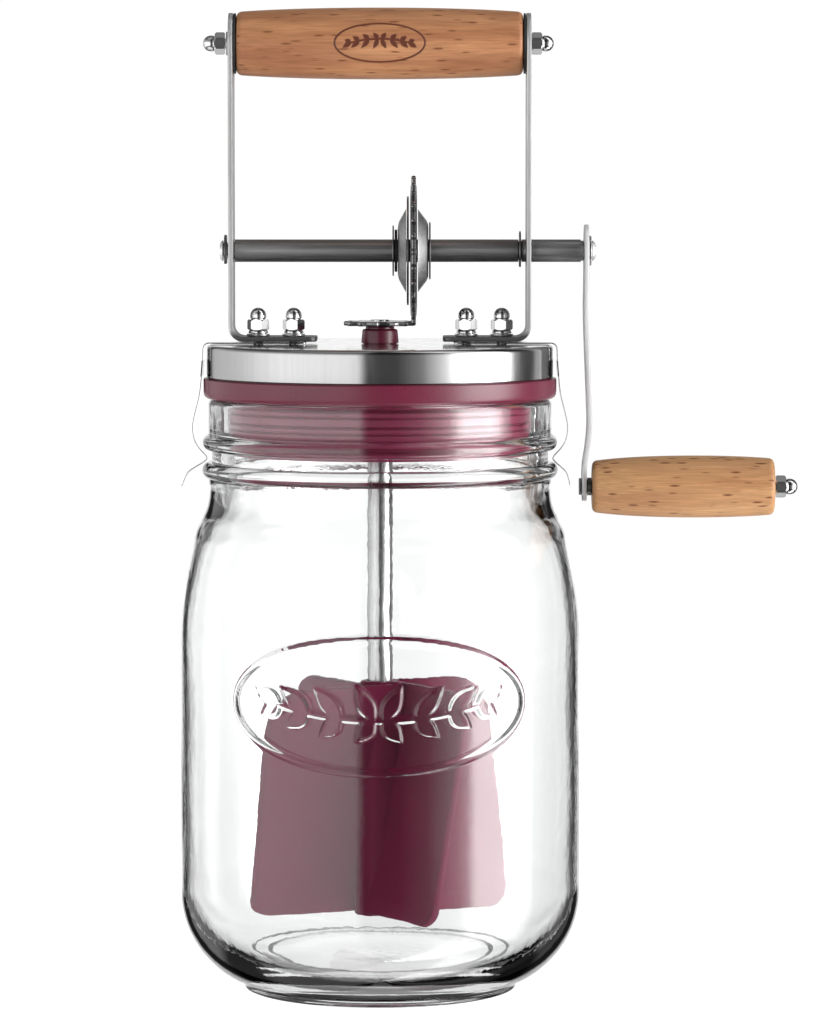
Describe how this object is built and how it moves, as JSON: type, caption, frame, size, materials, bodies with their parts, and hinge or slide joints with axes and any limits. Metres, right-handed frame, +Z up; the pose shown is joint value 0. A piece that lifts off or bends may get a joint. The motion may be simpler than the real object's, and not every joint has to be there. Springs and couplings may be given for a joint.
{
  "type": "butter churn",
  "caption": "Small hand-cranked butter churn: a glass jar with a clip-on lid that carries a geared crank, a carrying grip and a bladed paddle inside the jar.",
  "frame": {"origin": "on the jar's axis, at the surface that the jar stands on", "axes": "+Z up along the jar and the paddle shaft; +X along the crank axle towards the crank; -Y is the front, where the jar's ornament is"},
  "size_m": [0.1729, 0.112, 0.2743],
  "materials": {
    "clear_glass": "clear moulded glass",
    "stainless_steel": "fine brushed",
    "bright_steel": "polished",
    "dark_steel": "dark turned steel",
    "plum_plastic": "smooth moulded",
    "black_plastic": "matt moulded",
    "beech_wood": "oiled beech"
  },
  "bodies": {
    "jar": {"jar": "clear_glass"},
    "head": {"lid_cap": "stainless_steel", "lid_insert": "plum_plastic", "shaft_bush": "plum_plastic", "bracket_left": "stainless_steel", "bracket_right": "stainless_steel", "foot_screw_left_inner": "stainless_steel", "foot_screw_left_outer": "stainless_steel", "foot_screw_right_inner": "stainless_steel", "foot_screw_right_outer": "stainless_steel", "foot_washer_left_inner": "stainless_steel", "foot_washer_left_outer": "stainless_steel", "foot_washer_right_inner": "stainless_steel", "foot_washer_right_outer": "stainless_steel", "foot_nut_left_inner": "bright_steel", "foot_nut_left_outer": "bright_steel", "foot_nut_right_inner": "bright_steel", "foot_nut_right_outer": "bright_steel", "clip_left_foot": "bright_steel", "clip_right_foot": "bright_steel", "grip": "beech_wood", "grip_end_disc_left": "black_plastic", "grip_end_disc_right": "black_plastic", "grip_washer": "stainless_steel", "grip_rod": "stainless_steel", "grip_nut_left": "bright_steel", "grip_nut_right": "bright_steel"},
    "crank": {"axle": "dark_steel", "drive_gear": "stainless_steel", "gear_washer_left": "stainless_steel", "gear_spacer": "black_plastic", "gear_cup_left": "stainless_steel", "gear_disc": "stainless_steel", "gear_cup_right": "stainless_steel", "gear_washer_right": "stainless_steel", "axle_clip_left": "bright_steel", "axle_clip_right": "bright_steel", "crank_arm": "stainless_steel", "crank_washer": "stainless_steel", "knob_bolt": "dark_steel", "knob_spacer": "dark_steel", "knob_nut": "bright_steel"},
    "knob": {"crank_knob": "beech_wood"},
    "paddle": {"pinion": "stainless_steel", "paddle_shaft": "stainless_steel", "shaft_clip": "bright_steel", "paddle": "plum_plastic"},
    "clip_left": {"clip_left_leg": "bright_steel"},
    "clip_right": {"clip_right_leg": "bright_steel"}
  },
  "joints": [
    {"name": "head_lift", "type": "slide", "parent": "jar", "child": "head", "axis": [0, 0, 1], "range_m": [0, 0.16]},
    {"name": "crank_turn", "type": "hinge", "parent": "head", "child": "crank", "pos_m": [0, 0, 0.20675], "axis": [1, 0, 0], "continuous": true},
    {"name": "paddle_turn", "type": "hinge", "parent": "head", "child": "paddle", "pos_m": [0, 0, 0.1], "axis": [0, 0, 1], "continuous": true},
    {"name": "knob_spin", "type": "hinge", "parent": "crank", "child": "knob", "pos_m": [0.0848, 0, 0.1408], "axis": [1, 0, 0], "continuous": true},
    {"name": "clip_left_flex", "type": "hinge", "parent": "head", "child": "clip_left", "pos_m": [-0.0469, 0, 0.1812], "axis": [0, 1, 0], "range_deg": [0, 3], "stiffness_Nm_per_rad": 1},
    {"name": "clip_right_flex", "type": "hinge", "parent": "head", "child": "clip_right", "pos_m": [0.0469, 0, 0.1812], "axis": [0, -1, 0], "range_deg": [0, 3], "stiffness_Nm_per_rad": 1}
  ],
  "couplings": [
    {"joint": "paddle_turn", "follows": "crank_turn", "ratio": 2.1538}
  ]
}
